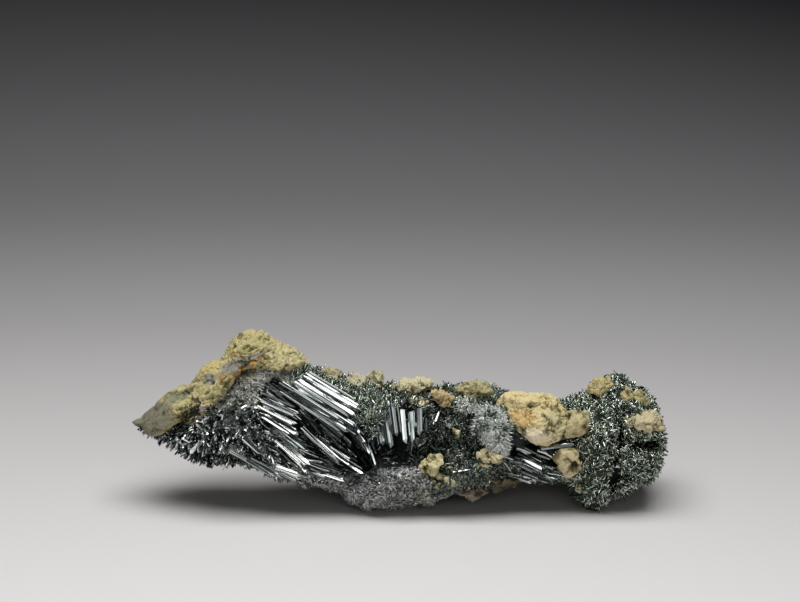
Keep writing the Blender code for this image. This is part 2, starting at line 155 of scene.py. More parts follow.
camera_data = bpy.data.cameras.new("camera")
camera_data.lens = CAMERA_LENS
camera_data.clip_start = 0.01
camera = bpy.data.objects.new("camera", camera_data)
bpy.context.scene.collection.objects.link(camera)
view = Vector((0, math.cos(CAMERA_ELEVATION), -math.sin(CAMERA_ELEVATION)))
camera.location = CAMERA_AIM - view * CAMERA_DISTANCE
camera.rotation_euler = view.to_track_quat("-Z", "Y").to_euler()
bpy.context.scene.camera = camera

# A large softbox hangs over the specimen, and a weak reflector stands in front of it. Bright faces mirror
# them, and the dark room shows in the rest. Name, place, size, watts.
SOFTBOXES = (
    ("overhead softbox", (0.0, -0.08, 0.46), (0.50, 0.36), 2.6),
    ("front reflector", (0.10, -0.80, 0.32), (0.70, 0.30), 0.9),
)
LIT_POINT = Vector((0, 0, 0.015))
for name, spot, (width, height), power in SOFTBOXES:
    light = bpy.data.lights.new(name, "AREA")
    light.shape = "RECTANGLE"
    light.size = width
    light.size_y = height
    light.energy = power
    lamp = bpy.data.objects.new(name, light)
    lamp.location = spot
    lamp.rotation_euler = (LIT_POINT - Vector(spot)).to_track_quat("-Z", "Y").to_euler()
    bpy.context.scene.collection.objects.link(lamp)

world = bpy.data.worlds.new("dim room")
world.use_nodes = True
feed(world.node_tree, world.node_tree.nodes["Background"], {"Color": linear("#b9bcc4"), "Strength": 0.05})
bpy.context.scene.world = world
bpy.context.scene.view_settings.view_transform = "Standard"

# ======================== crust of the stibnite
# The specimen's mass is stibnite grown into itself. Its skin, between the standing crystals, is a dull,
# lead-grey felt of crystals too fine to tell apart. It is a swept form with hollows on the display side.

MM = 0.001
noise.seed_set(4)  # as in the plain solid of the mass, so that the hollows wander alike

# x, underside z, ridge z, front y, back y, in millimetres to the tips of the needles.
BODY_STATIONS = (
    (-57.6, 16.2, 17.6, -1.5, 1.5),
    (-53.5, 15.0, 19.7, -6.5, 6.0),
    (-47.0, 11.8, 22.4, -10.5, 9.5),
    (-40.0, 10.2, 28.2, -13.0, 12.5),
    (-32.0, 8.6, 34.0, -14.5, 15.0),
    (-25.0, 5.0, 33.2, -15.0, 17.5),
    (-20.0, 3.2, 30.0, -15.2, 18.5),
    (-15.0, 1.8, 28.6, -15.5, 19.5),
    (-8.0, -0.8, 26.8, -16.5, 20.5),
    (-1.0, -1.8, 25.8, -17.0, 21.0),
    (8.0, 0.4, 25.0, -17.0, 21.0),
    (16.0, 2.0, 24.6, -16.0, 20.5),
    (24.0, 3.8, 23.8, -15.0, 19.0),
    (32.0, 4.6, 22.2, -13.5, 17.0),
    (37.5, 4.0, 21.6, -13.0, 16.5),
    (43.5, -2.1, 25.4, -14.5, 16.5),
    (49.0, 0.8, 28.2, -14.5, 16.0),
    (53.5, 4.4, 26.0, -13.5, 14.5),
    (56.4, 5.6, 22.4, -12.0, 13.0),
    (58.8, 6.4, 20.0, -9.5, 10.5),
)
BODY_RINGS = 330
BODY_SIDES = 210
BODY_ROUNDNESS = 2.5
CRUST_DEPTH = 1.0  # how far the crust lies inside the tips of the needles
SLIMMEST = 0.3  # the least half height and half depth before the ends close
END_CLOSING = (3.0, 1.8)  # the length over which each end closes
# Spacing and height of the swellings, in millimetres.
DISPLAY_SWELLINGS = ((8.0, 1.8), (3.8, 1.2))
BACK_SWELLINGS = ((17.0, 7.0), (8.0, 3.6), (3.8, 1.4))
RIM_SWELLINGS = ((7.0, 1.4), (3.6, 1.2))
CRUST_GRAIN = ((1.7, 0.7), (0.8, 0.45), (0.4, 0.2))
# Hollows of the display side: x, z, half length, half height, tilt in degrees, depth.
HOLLOWS = (
    (-18.0, 19.0, 18.0, 7.6, -34.0, 8.5),
    (7.0, 17.6, 14.0, 7.4, 2.0, 8.0),
    (30.0, 13.4, 9.0, 3.0, -6.0, 5.0),
    (47.8, 13.0, 13.0, 2.0, 84.0, 3.6),
    (56.0, 16.4, 5.5, 2.0, -8.0, 4.5),
)
HOLLOW_EDGE = 0.4  # the share of a hollow that its slopes take up
HOLLOW_CORNERS = 3.0  # over 2 is squarer than an ellipse
HOLLOW_RAGGEDNESS = 2.6
HOLLOW_WANDER = 4.5  # spacing of the raggedness
HOLLOW_FACING = 1.6  # how soon a hollow reaches its depth as the surface turns to the display side
DISPLAY_LIMIT = 0.2  # a surface whose normal has a smaller y belongs to the display side
# Painted shade: the crust's colour darkens with the depth of a hollow.
SHADED_HOLLOWS = 0.08  # how much darker the crust is for each millimetre that it is sunk
# Broken faces of the back: a point on the break and its outward direction.
BODY_BREAKS = (
    ((-30.0, 11.5, 14.0), (-0.25, 1.0, -0.55)),
    ((-8.0, 18.0, 8.0), (0.1, 1.0, -0.8)),
    ((14.0, 18.4, 20.0), (0.15, 1.0, 0.55)),
    ((36.0, 14.5, 10.0), (-0.2, 1.0, -0.3)),
    ((52.0, 12.5, 20.0), (0.7, 1.0, 0.4)),
)
BREAK_WEAR = 0.9  # how much of what stands out past a break is gone


def between(table, x):
    """The row of a station table at x, on a Catmull-Rom curve through its stations."""
    last = len(table) - 1
    i = max([k for k in range(last) if table[k][0] <= x], default=0)
    before, here, there, after = (table[min(max(k, 0), last)] for k in (i - 1, i, i + 1, i + 2))
    t = min(max((x - here[0]) / (there[0] - here[0]), 0.0), 1.0)
    row = []
    for a, b, c, d in zip(before[1:], here[1:], there[1:], after[1:]):
        row.append(b + 0.5 * t * (c - a + t * (2 * a - 5 * b + 4 * c - d + t * (3 * (b - c) + d - a))))
    return row


def smooth(t):
    """A soft step from 0 to 1."""
    t = min(max(t, 0.0), 1.0)
    return t * t * (3 - 2 * t)


def swellings(point, layers):
    """The height of layered noise at a point; each layer is a spacing and a height."""
    return sum(height * noise.noise(point / spacing) for spacing, height in layers)


def moved(bm, rule):
    """Moves every vertex to rule(vertex), all at once."""
    bm.normal_update()
    for vert, spot in [(vert, rule(vert)) for vert in bm.verts]:
        vert.co = spot
    bm.normal_update()


def in_ellipse(dx, dz, half_length, half_height, tilt):
    """How far an offset reaches along and across a tilted ellipse, as shares of its half axes."""
    turn = math.radians(tilt)
    along = dx * math.cos(turn) + dz * math.sin(turn)
    across = dz * math.cos(turn) - dx * math.sin(turn)
    return abs(along) / half_length, abs(across) / half_height


def hollow_depth(x, z):
    """How far the display side is sunk at x, z."""
    depth = 0.0
    wander = noise.noise_vector(Vector((x, 0, z)) / HOLLOW_WANDER) * HOLLOW_RAGGEDNESS
    x, z = x + wander.x, z + wander.z
    for cx, cz, half_length, half_height, tilt, deepest in HOLLOWS:
        along, across = in_ellipse(x - cx, z - cz, half_length, half_height, tilt)
        outwards = (along**HOLLOW_CORNERS + across**HOLLOW_CORNERS) ** (1 / HOLLOW_CORNERS)
        depth = max(depth, deepest * smooth((1 - outwards) / HOLLOW_EDGE))
    return depth


def swept(vert):
    """A point of the unit sphere carried onto the form swept through the stations."""
    first, last = BODY_STATIONS[0][0], BODY_STATIONS[-1][0]
    x = first + math.acos(min(max(-vert.co.z, -1.0), 1.0)) / math.pi * (last - first)
    turn = math.atan2(vert.co.y, vert.co.x)
    low, high, front, back = between(BODY_STATIONS, x)
    closing = math.sqrt(smooth(min((x - first) / END_CLOSING[0], (last - x) / END_CLOSING[1])))
    half_y = max((back - front) / 2 - CRUST_DEPTH, SLIMMEST) * closing
    half_z = max((high - low) / 2 - CRUST_DEPTH, SLIMMEST) * closing
    c, s = math.cos(turn), math.sin(turn)
    y = (front + back) / 2 + half_y * math.copysign(abs(c) ** (2 / BODY_ROUNDNESS), c)
    z = (low + high) / 2 + half_z * math.copysign(abs(s) ** (2 / BODY_ROUNDNESS), s)
    return Vector((x, y, z))


def crust_surface(vert):
    """Where a point of the swept form goes: swollen, sunk at the hollows, and worn flat at the breaks."""
    facing = smooth(-vert.normal.y * HOLLOW_FACING)
    side = abs(vert.normal.y)
    side_swell = swellings(vert.co, DISPLAY_SWELLINGS if vert.normal.y < 0 else BACK_SWELLINGS)
    swell = side * side_swell + (1 - side) * swellings(vert.co, RIM_SWELLINGS)
    spot = vert.co + Vector((0, hollow_depth(vert.co.x, vert.co.z) * facing, 0)) + vert.normal * swell
    for point, outward in BODY_BREAKS:
        outward = Vector(outward).normalized()
        spot = spot - outward * max((spot - Vector(point)).dot(outward), 0.0) * BREAK_WEAR
    return spot


# A "seen height" is a height as it is seen from the display side: z plus this slope times y.
SEEN_SLOPE = math.tan(CAMERA_ELEVATION)
# The ragged edge of a stain: spacing and width of its waverings, then where it ends and how softly.
STAIN_WAVERING = ((2.2, 1.0), (0.7, 0.45))
STAIN_EDGE = (1.25, 0.5)


def stained(point, base, stains):
    """The linear colour of a point: ragged patches of the display side, stains and painted light, are laid
    over the base in turn.
    """
    colour = Vector(linear(base))
    wander = sum((noise.noise_vector(point / spacing) * width for spacing, width in STAIN_WAVERING), Vector())
    for stain, x, seen, *ellipse in stains:
        dx, dz = point.x + wander.x - x, point.z + SEEN_SLOPE * point.y + wander.z - seen
        share = smooth((STAIN_EDGE[0] - math.hypot(*in_ellipse(dx, dz, *ellipse))) / STAIN_EDGE[1])
        if share > 0:
            colour = colour.lerp(Vector(linear(stain)), share)
    return colour


# Tarnish and dust on the stibnite: colour, x, seen height, half length, half height, tilt in degrees.
CRUST_BASE = "#383d3c"
CRUST_STAINS = (
    ("#82827a", -31.0, 28.0, 9.0, 4.2, 24),  # pale felt below the peak
    ("#74746f", -4.0, 1.6, 22.0, 4.4, 8),  # dusty felt of the belly
    ("#80817a", 16.4, 20.0, 5.5, 6.5, -20),  # silvery felt beside the large lump
    ("#54584d", 47.0, 12.0, 12.0, 14.0, 0),
    ("#6a6a50", 41.0, 8.0, 4.5, 7.0, 0),
    ("#565a50", 8.0, 25.0, 26.0, 2.6, -3),
)

bm = bmesh.new()
bmesh.ops.create_uvsphere(bm, u_segments=BODY_SIDES, v_segments=BODY_RINGS, radius=1.0)
moved(bm, swept)
moved(bm, crust_surface)
moved(bm, lambda vert: vert.co + vert.normal * swellings(vert.co, CRUST_GRAIN))
sunk = bm.verts.layers.float.new("sunk")
tint = bm.verts.layers.float_color.new("tint")
for vert in bm.verts:
    vert.co.z = max(vert.co.z, 0.0)
    display = vert.normal.y < DISPLAY_LIMIT
    # Painted shade: the display side's colour is darkened by how deep it is sunk in a hollow.
    vert[sunk] = SHADED_HOLLOWS * hollow_depth(vert.co.x, vert.co.z) if display else 0.0
    vert[tint] = stained(vert.co, CRUST_BASE, CRUST_STAINS if display else ())

# Massive stibnite: a soft lead-grey sulphide, dull and nearly black where it is fine-grained, with painted
# shade that darkens it deeper in the hollows, and a lighter felt on the belly and below the peak.
crust_material, tree, shader, place = new_material("massive stibnite, felted and dusty")
felt = add_node(tree, "TexNoise", {"Vector": place, "Scale": 1 / (0.7 * MM), "Detail": 5.0, "Roughness": 0.8})
sunk = add_node(tree, "Attribute", attribute_name="sunk", out="Fac")
# The felt's tone, less the painted shade of the hollows.
fresh = add_node(tree, "Math", {0: felt, 1: sunk}, operation="SUBTRACT")
grey = add_node(
    tree, "ValToRGB", {"Fac": fresh},
    ((0.22, "#1c2022"), (0.45, "#8a8c8c"), (0.60, "#e8e8e4"), (0.75, "#ffffff")),
)
tint = add_node(tree, "Attribute", attribute_name="tint")
toned = add_node(tree, "Mix", {0: 1.0, 6: tint, 7: grey}, data_type="RGBA", blend_type="MULTIPLY", out=2)
relief = add_node(tree, "Bump", {"Height": felt, "Distance": 0.6 * MM, "Strength": 0.9})
feed(tree, shader, {"Base Color": toned, "Normal": relief, "Metallic": 0.25, "Roughness": 0.5})


def grown(name, mesh, material):
    """A piece of the specimen, shown in the scene and riding on its one body."""
    made = linked(name, mesh, material)
    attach(made, "root")
    return made


def finished(name, bm, material):
    """A piece of the specimen from a bmesh in millimetres."""
    bmesh.ops.scale(bm, vec=(MM, MM, MM), verts=bm.verts)
    return grown(name, as_mesh(name, bm), material)


crust = finished("stibnite_crust", bm, crust_material)
crust.data.shade_smooth()
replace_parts(crust, "stibnite_mass")

# The faces in one fixed order, each from its lowest vertex on, so that seeded places are the same each time.
rows = [list(face.vertices) for face in crust.data.polygons]
CRUST_FACES = sorted(row[row.index(min(row)):] + row[:row.index(min(row))] for row in rows)
crust_tree = BVHTree.FromPolygons([vert.co / MM for vert in crust.data.vertices], CRUST_FACES)
SIGHT_LINE = (-40.0, -12.0)  # y well in front of the specimen, and y about at its front


def seen_on_crust(x, seen):
    """The point of the crust that shows at x and at a seen height, from the display side."""
    outside, front = (Vector((x, y, seen - y * SEEN_SLOPE)) for y in SIGHT_LINE)
    hit = crust_tree.ray_cast(outside, Vector((0, 1, -SEEN_SLOPE)))[0]
    return hit or crust_tree.find_nearest(front)[0]


# ======================== blades
# Flattened stibnite prisms, about a millimetre wide and up to 20 long, striated along their length and ending
# in a slanted point. They grew from the mass in fans: in the open pocket, the middle and the right cleft.

# A fan runs from a first blade to a last one, both given by root and tip. Then its count and widest blade.
POCKET_FANS = (
    (((-27, -10, 29.5), (-11, -15.5, 20.5)), ((-20, -9, 31), (-8.5, -13, 25)), 4, 1.3),
    (((-30.5, -11.5, 27), (-22, -14, 24)), ((-28, -12, 18), (-20, -16, 11)), 6, 1.1),
    (((-20.5, -12.5, 20), (-15, -15.5, 15.5)), ((-14.5, -13.5, 14.5), (-8, -16, 11)), 4, 0.9),
    (((-12, -13, 22), (-8.5, -14.5, 20)), ((-7.5, -12.5, 19), (-5, -15.5, 12.5)), 4, 0.9),
    (((-38, -12.5, 17), (-25.5, -15, 10)), ((-22, -13.5, 12), (-12, -16, 9.5)), 5, 1.4),
)
UPRIGHT_FANS = ((((-5, -9.5, 24.5), (-3.5, -14.5, 17)), ((4.5, -10, 23), (4.5, -13.5, 19)), 6, 1.5),)
LYING_FANS = ((((25, -12, 14.5), (31.5, -14.5, 11.5)), ((27, -12.5, 10.5), (34, -14.5, 8.5)), 4, 1.3),)
FAN_SEED = 11
BLADE_SLIDE = 1.2  # how far the blades inside a fan slide along their length
BLADE_WIDTHS = (0.6, 1.0)  # range of the widths, as shares of the fan's widest
BLADE_FLATNESS = 0.6  # thickness over width
# Loose crystals under the large lump, along the pocket's lower edge, beside the uprights and in the dark
# hollow: x and seen height of both ends, width, thickness, gap in front of the crust, brightness.
LOOSE_BLADES = (
    (31.2, 12.6, 38.6, 13.6, 1.0, 0.4, 1.0, 0.35),
    (35.4, 14.8, 39.0, 15.6, 0.8, 0.4, 1.0, 0.3),
    (11.7, 7.4, 15.7, 7.9, 0.45, 0.4, 0.6, 0.9),
    (3.9, 13.2, 6.3, 14.6, 1.4, 0.5, 0.8, 0.5),
    (22.6, 10.0, 24.6, 7.4, 0.5, 0.4, 0.8, 0.6),
    (-8.0, 22.4, -6.2, 20.0, 0.6, 0.4, 0.8, 0.9),
    (-37.0, 13.0, -31.0, 9.0, 2.2, 0.7, 3.4, 1.0),
    (-32.0, 9.5, -25.0, 6.0, 2.0, 0.7, 3.0, 1.0),
    (-34.0, 15.5, -30.0, 11.5, 1.3, 0.5, 2.0, 0.9),
    (-27.0, 8.5, -21.5, 6.5, 1.2, 0.5, 2.2, 0.9),
    (-5.6, 21.5, -4.4, 15.0, 1.5, 0.6, 2.0, 0.2),
    (-3.4, 21.5, -2.6, 14.5, 1.2, 0.5, 1.8, 0.15),
    (9.5, 17.5, 10.0, 15.5, 0.8, 0.4, 0.6, 0.3),
    (7.0, 13.0, 9.5, 11.0, 0.6, 0.4, 0.6, 0.5),
    (8.0, 18.5, 9.0, 21.0, 0.5, 0.4, 0.6, 0.6),
)
# Short blocky crystals of the burr, between its tip and the pocket: how many, range of seen height above the
# lower edge, length range, width range, thickness.
BLOCKS = (330, (0.5, 15.0), (1.2, 3.6), (0.4, 1.1), 0.4)
BLOCKS_LOW_EDGE = ((-52.0, 14.5), (-28.0, 6.5))  # x and seen height where their lower edge starts and ends
BLOCKS_CENTRE = Vector((-35.0, 2.0, 24.0))  # they point away from here
BLADE_SIDES = 14
BLADE_STRIATION = 0.12  # depth of the lengthwise grooves, as a share of the blade's half width
BLADE_NECK = 0.93  # the width at the foot of the point, as a share of the blade's
BLADE_POINT = 0.8  # length of a point, in widths
BLADE_SLANT = 0.6  # the most that a point's foot leans, as a slope
ROOT_REACH = 3.4  # how far a blade runs on into the stibnite behind it
INWARD = Vector((0, 0.97, -0.25))  # the way into the mass from the display side
LIT_FACING = Vector((0.10, -0.80, 0.60))  # the way that the broad faces turn: up and towards the display side
# A large blade's thinner companions: how far beside its edge and behind it they stand, their width, their
# brightness as a share of its own, and their thickness.
COMPANION_GAP, COMPANION_BACK = (0.2, 0.9), (0.2, 0.7)
COMPANION_WIDTHS, COMPANION_SHADES = (0.25, 0.55), (0.2, 1.2)
COMPANION_THICKNESS = 0.35

# Thin blades that fill the pockets behind the large ones: how many, two corners of the box they start in, the
# point they run towards, length range, width range, brightness range.
POCKET_FILLERS = (
    (150, (-33, -11.0, 12), (-12, -6.0, 30), (2.0, -13.5, 4.0), (2.5, 9.0), (0.2, 0.6), (0.0, 0.6)),
    (70, (-26, -12.5, 8), (-9, -9.0, 20), (-4.5, -14.5, 8.6), (2.5, 7.0), (0.2, 0.6), (0.0, 0.7)),
    (16, (-7, -9.5, 18), (4.5, -8.0, 22), (0.5, -12.0, -18.0), (3.0, 7.0), (0.3, 0.7), (0.0, 0.4)),
    (170, (4, -13.5, 8), (22, -8.0, 22), (12.0, -22.0, 26.0), (1.2, 4.0), (0.2, 0.5), (0.1, 1.0)),
    (80, (23, -13.0, 8), (36, -9.5, 15), (60.0, -14.0, 3.0), (2.0, 4.5), (0.3, 0.7), (0.1, 0.9)),
)


def fan_blades(fan, draw):
    """Root, tip and width of each blade of a fan, from its first blade to its last."""
    (first_root, first_tip), (last_root, last_tip), count, widest = fan
    for place in range(count):
        share = place / (count - 1)
        root = Vector(first_root).lerp(Vector(last_root), share)
        tip = Vector(first_tip).lerp(Vector(last_tip), share)
        slide = draw.uniform(-BLADE_SLIDE, BLADE_SLIDE) * min(place, count - 1 - place, 1)
        shift = (tip - root).normalized() * slide
        yield root + shift, tip + shift, widest * draw.uniform(*BLADE_WIDTHS)


def laid_along(bm, root, tip, roll):
    """Turns a crystal that stands on the origin to run from root to tip, its broad faces to the light."""
    along = (tip - root).normalized()
    across = along.cross(LIT_FACING).normalized()
    turned = Matrix((across, along.cross(across), along)).transposed() @ Matrix.Rotation(roll, 3, "Z")
    bmesh.ops.transform(bm, matrix=Matrix.Translation(root) @ turned.to_4x4(), verts=bm.verts)


def add_blade(into, root, tip, width, thickness, draw, turning, brightness):
    """One striated prism: a flattened ring with seeded grooves, extruded, necked and drawn to a point.

    turning is the spread of its roll about its length, in radians.
    """
    length = (tip - root).length
    bm = bmesh.new()
    bmesh.ops.create_circle(bm, cap_ends=True, segments=BLADE_SIDES, radius=0.5)
    for vert in bm.verts:
        groove = 1 + draw.uniform(-BLADE_STRIATION, BLADE_STRIATION)
        flat = abs(vert.co.y * 2) ** 0.35 * math.copysign(0.5, vert.co.y) if abs(vert.co.y) > 1e-4 else 0.0
        vert.co = Vector((vert.co.x * width * groove, flat * thickness * groove, 0))
    drawn_out = bmesh.ops.extrude_face_region(bm, geom=bm.faces[:])["geom"]
    end = verts_of(drawn_out)
    cap = [item for item in drawn_out if isinstance(item, bmesh.types.BMFace)]
    slant = draw.uniform(-BLADE_SLANT, BLADE_SLANT)
    for vert in end:
        vert.co.z = length - BLADE_POINT * width * (1 + slant * vert.co.x / width)
    bmesh.ops.scale(bm, vec=(BLADE_NECK, BLADE_NECK, 1), verts=end)
    point = bmesh.ops.poke(bm, faces=cap)["verts"]
    point[0].co = Vector((draw.uniform(-0.3, 0.3) * width, 0, length))
    stripes = bm.loops.layers.uv.new("striation")
    tone = bm.verts.layers.float.new("tone")
    shift = draw.uniform(0, 50)
    for vert in bm.verts:
        vert[tone] = brightness
    for face in bm.faces:
        for loop in face.loops:
            loop[stripes].uv = (loop.vert.co.x + 0.7 * loop.vert.co.y + shift, loop.vert.co.z)
    bmesh.ops.recalc_face_normals(bm, faces=bm.faces)
    laid_along(bm, root, tip, draw.gauss(0.0, turning))
    held = as_mesh("blade", bm)
    into.from_mesh(held)
    bpy.data.meshes.remove(held)


# Fresh stibnite on its long faces: a bright lead-grey metal, mirror-like along each stripe. The stripes are
# about half a millimetre wide, coarser than real striae, which wouldn't show. Bump and roughness draw them on
# a UV map that runs along the blade. Each blade has a brightness of its own, from tarnished to fresh.
STRIPES_PER_MM = 2.2


def blade_metal(name, streaks, gloss_range):
    """Striated stibnite, by the contrast of its stripes and their highest and least roughness."""
    made, tree, shader, _ = new_material(name)
    stripe_map = add_node(tree, "UVMap", uv_map="striation")
    stretched = add_node(tree, "Mapping", {"Vector": stripe_map, "Scale": (STRIPES_PER_MM, 0.05, 1.0)})
    stripes = add_node(tree, "TexNoise", {"Vector": stretched, "Scale": 1.0, "Detail": 3.0})
    tone = add_node(tree, "Attribute", attribute_name="tone", out="Fac")
    level = add_node(tree, "Math", {0: stripes, 1: streaks, 2: tone}, operation="MULTIPLY_ADD")
    low = streaks * 0.5 - 0.2
    share = add_node(tree, "MapRange", {"Value": level, "From Min": low, "From Max": low + 1.2})
    tint = add_node(
        tree, "ValToRGB", {"Fac": share},
        ((0.0, "#14181a"), (0.35, "#6f7675"), (0.65, "#b6bbb9"), (0.9, "#f7f8f5")),
    )
    dull, glossy = gloss_range
    gloss = add_node(
        tree, "MapRange",
        {"Value": stripes, "From Min": 0.35, "From Max": 0.65, "To Min": dull, "To Max": glossy},
    )
    relief = add_node(tree, "Bump", {"Height": stripes, "Distance": 0.10 * MM, "Strength": 0.7})
    feed(tree, shader, {"Base Color": tint, "Roughness": gloss, "Normal": relief, "Metallic": 1.0})
    return made


blade_material = blade_metal("fresh stibnite, striated cleavage faces", 1.6, (0.30, 0.12))
upright_material = blade_metal("even grey stibnite blades", 1.1, (0.52, 0.38))

# Every large blade has thinner companions beside it, and a brightness of its own.
fan_draw = random.Random(FAN_SEED)
draw = random.Random(3)
for name, fans, companions, material, turning, shades in (
    ("long_blades", POCKET_FANS, (2, 3, 4), blade_material, 0.26, (0.3, 1.0)),
    ("upright_blades", UPRIGHT_FANS, (1, 2), upright_material, 0.16, (0.0, 0.5)),
    ("lying_blades", LYING_FANS, (2, 3, 4), blade_material, 0.4, (0.2, 0.7)),
):
    bm = bmesh.new()
    for root, tip, width in [blade for fan in fans for blade in fan_blades(fan, fan_draw)]:
        along = (tip - root).normalized()
        inward = (INWARD - along * 0.3).normalized()
        shade = draw.uniform(*shades)
        add_blade(bm, root + inward * ROOT_REACH, tip, width, width * BLADE_FLATNESS, draw, turning, shade)
        beside = along.cross(LIT_FACING).normalized()
        for _ in range(draw.choice(companions)):
            aside = beside * (width * 0.5 + draw.uniform(*COMPANION_GAP)) * draw.choice((-1, 1))
            back = Vector((0, draw.uniform(*COMPANION_BACK), 0))
            start = root + aside + back + along * draw.uniform(-1.0, 2.0)
            end = tip + aside + back - along * draw.uniform(0.0, 4.0)
            slim, dimmer = draw.uniform(*COMPANION_WIDTHS), draw.uniform(*COMPANION_SHADES)
            add_blade(bm, start, end, slim, COMPANION_THICKNESS, draw, 0.6, shade * dimmer)
    finished(name, bm, material)

bm = bmesh.new()
for x0, seen0, x1, seen1, width, thickness, gap, shade in LOOSE_BLADES:
    forward = Vector((0, -gap, gap * SEEN_SLOPE))
    start, end = seen_on_crust(x0, seen0) + forward, seen_on_crust(x1, seen1) + forward
    add_blade(bm, start, end, width, thickness, draw, 0.1, shade)
finished("loose_blades", bm, blade_material)

bm = bmesh.new()
count, heights, lengths, widths, thickness = BLOCKS
(left_x, left_low), (right_x, right_low) = BLOCKS_LOW_EDGE
for _ in range(count):
    x = draw.uniform(left_x, right_x)
    low = left_low + (right_low - left_low) * (x - left_x) / (right_x - left_x)
    narrowing = min(1.0, (x - left_x) / 5 + 0.4)  # the band of blocks is lower at the tip
    root = seen_on_crust(x, low + draw.uniform(*heights) * narrowing)
    spread = Vector([draw.gauss(0, 1) for _ in range(3)])
    direction = ((root - BLOCKS_CENTRE).normalized() * 0.8 + spread.normalized()).normalized()
    tip = root + direction * draw.uniform(*lengths)
    width, shade = draw.uniform(*widths), draw.uniform(0.0, 1.0)
    add_blade(bm, root - direction * 0.8, tip, width, thickness, draw, 0.7, shade)
finished("burr_blocks", bm, blade_material)

bm = bmesh.new()
for count, low, high, target, lengths, widths, shades in POCKET_FILLERS:
    for _ in range(count):
        root = crust_tree.find_nearest(Vector([draw.uniform(a, b) for a, b in zip(low, high)]))[0]
        spread = Vector([draw.uniform(-1, 1) for _ in range(3)]) * 0.16
        direction = ((Vector(target) - root).normalized() + spread).normalized()
        width = draw.uniform(*widths)
        tip = root + direction * draw.uniform(*lengths)
        thickness, shade = width * draw.uniform(0.4, 0.8), draw.uniform(*shades)
        add_blade(bm, root - direction * 0.4, tip, width, thickness, draw, 0.8, shade)
finished("pocket_blades", bm, blade_material)

# ======================== needles of the crust
# Short stibnite needles, from a felt under 0.3 mm thick to prisms of nearly 1 mm, stand, lean or lie all over
# the mass. Each field is one joined mesh of a single needle repeated at seeded places on the crust.


def repeatable(bm):
    """The points and faces of a small form that is repeated many times."""
    bm.verts.index_update()
    points = np.array([vert.co[:] for vert in bm.verts])
    faces = [[vert.index for vert in face.verts] for face in bm.faces]
    bm.free()
    return points, faces


# One needle, one unit wide and long: a four-sided shaft, slightly narrower at the top, with a low point.
NEEDLE_FOOT, NEEDLE_TOP = 0.5, 0.42  # radii
NEEDLE_SHAFT = 0.84
bm = bmesh.new()
bmesh.ops.create_cone(
    bm, cap_ends=True, segments=4, radius1=NEEDLE_FOOT, radius2=NEEDLE_TOP, depth=NEEDLE_SHAFT,
)
bmesh.ops.translate(bm, vec=(0, 0, NEEDLE_SHAFT / 2), verts=bm.verts)
top = [face for face in bm.faces if face.normal.z > 0.9]
base = [face for face in bm.faces if face.normal.z < -0.9]
bmesh.ops.translate(bm, vec=(0, 0, 1 - NEEDLE_SHAFT), verts=bmesh.ops.poke(bm, faces=top)["verts"])
bmesh.ops.delete(bm, geom=base, context="FACES_ONLY")
NEEDLE_POINTS, NEEDLE_FACES = repeatable(bm)


def unit(vectors):
    return vectors / np.maximum(np.linalg.norm(vectors, axis=-1, keepdims=True), 1e-9)


corners = np.array([(row[0], *pair) for row in CRUST_FACES for pair in zip(row[1:], row[2:])])
points = np.empty(len(crust.data.vertices) * 3)
crust.data.vertices.foreach_get("co", points)
CRUST_TRIANGLES = points.reshape(-1, 3)[corners] / MM
first, second, third = CRUST_TRIANGLES.transpose(1, 0, 2)
sides = np.cross(second - first, third - first)
TRIANGLE_AREAS = np.linalg.norm(sides, axis=1) / 2
TRIANGLE_NORMALS = unit(sides)
TABLE_CLEARANCE = 0.02  # no needle comes nearer to the table


def rippled(places, spacing, seed):
    """A slowly varying vector field over the specimen, from a sum of a few waves."""
    waves = np.random.default_rng(seed)
    field = np.zeros_like(places)
    for _ in range(6):
        across = unit(waves.normal(size=(1, 3)))
        phase = places @ across.T * (2 * math.pi / (spacing * waves.uniform(0.7, 1.5))) + waves.uniform(0, 7)
        field += np.sin(phase) * unit(waves.normal(size=(1, 3)))
    return field


def tiled(name, co, faces, tones, material):
    """One joined mesh of many copies of a small form: co holds each copy's points."""
    co[..., 2] = np.maximum(co[..., 2], TABLE_CLEARANCE)
    total, step = co.shape[:2]
    flat = np.concatenate([np.array(face) for face in faces])
    sizes = np.tile([len(face) for face in faces], total)
    loops = (flat[None, :] + step * np.arange(total)[:, None]).ravel()
    mesh = bpy.data.meshes.new(name)
    mesh.vertices.add(total * step)
    mesh.vertices.foreach_set("co", (co * MM).ravel())
    mesh.loops.add(len(loops))
    mesh.loops.foreach_set("vertex_index", loops.astype(np.int32))
    mesh.polygons.add(len(sizes))
    mesh.polygons.foreach_set("loop_start", np.concatenate([[0], np.cumsum(sizes)[:-1]]).astype(np.int32))
    mesh.update(calc_edges=True)
    tone = mesh.attributes.new("tone", "FLOAT", "POINT")
    tone.data.foreach_set("value", np.repeat(tones, step))
    return grown(name, mesh, material)


